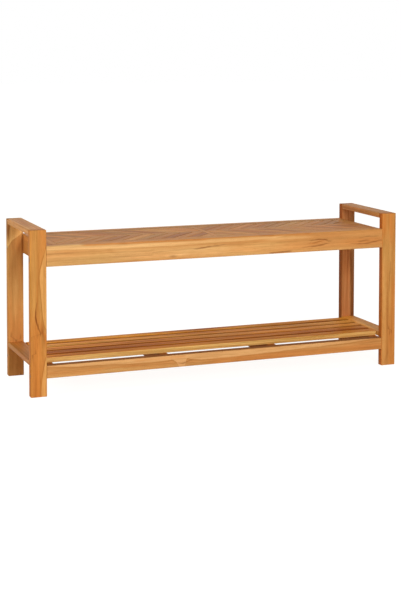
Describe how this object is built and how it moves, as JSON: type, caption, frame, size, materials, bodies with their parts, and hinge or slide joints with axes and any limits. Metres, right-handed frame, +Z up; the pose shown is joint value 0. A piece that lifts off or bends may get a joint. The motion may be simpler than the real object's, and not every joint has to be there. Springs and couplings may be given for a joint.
{
  "type": "bench",
  "caption": "Long low teak bench with end frames and hand rails, a herringbone slatted seat let into a boxed frame, and a slatted shelf below.",
  "frame": {"origin": "on the floor under the middle of the bench", "axes": "+X along the bench's length, +Y from its front to its back, +Z up"},
  "size_m": [1.1, 0.28, 0.45],
  "materials": {
    "teak_frame": "oiled, satin",
    "teak_rail": "oiled, satin",
    "teak_hidden": "oiled, satin",
    "teak_border": "oiled, satin",
    "teak_diagonal": "oiled, satin",
    "teak_shelf": "oiled, satin",
    "hardware": "zinc plated",
    "dowel": "raw"
  },
  "bodies": {
    "root": {"post_front_left": "teak_frame", "post_front_right": "teak_frame", "post_back_left": "teak_frame", "post_back_right": "teak_frame", "arm_left": "teak_frame", "arm_right": "teak_frame", "stretcher_left": "teak_frame", "stretcher_right": "teak_frame", "seat_apron_front": "teak_rail", "seat_apron_back": "teak_rail", "seat_end_rail_left": "teak_rail", "seat_end_rail_right": "teak_rail", "shelf_rail_front": "teak_rail", "shelf_rail_back": "teak_rail", "seat_bearer_1": "teak_hidden", "seat_bearer_2": "teak_hidden", "seat_bearer_3": "teak_hidden", "seat_bearer_4": "teak_hidden", "seat_bearer_5": "teak_hidden", "shelf_bar_1": "teak_hidden", "shelf_bar_2": "teak_hidden", "shelf_bar_3": "teak_hidden", "shelf_bar_4": "teak_hidden", "panel_border_front": "teak_border", "panel_border_back": "teak_border", "panel_border_left": "teak_border", "panel_border_right": "teak_border", "panel_cross_rail": "teak_border", "panel_spine_left": "teak_border", "panel_spine_right": "teak_border", "panel_slats_front_left": "teak_diagonal", "panel_slats_front_right": "teak_diagonal", "panel_slats_back_left": "teak_diagonal", "panel_slats_back_right": "teak_diagonal", "shelf_slat_1": "teak_shelf", "shelf_slat_2": "teak_shelf", "shelf_slat_3": "teak_shelf", "shelf_slat_4": "teak_shelf", "shelf_slat_5": "teak_shelf", "frame_bolts": "hardware", "barrel_nuts": "hardware", "panel_screws": "hardware", "shelf_screws": "hardware", "post_dowels": "dowel", "arm_dowels": "dowel", "stretcher_dowels": "dowel", "seat_dowels": "dowel", "shelf_dowels": "dowel"}
  },
  "joints": []
}
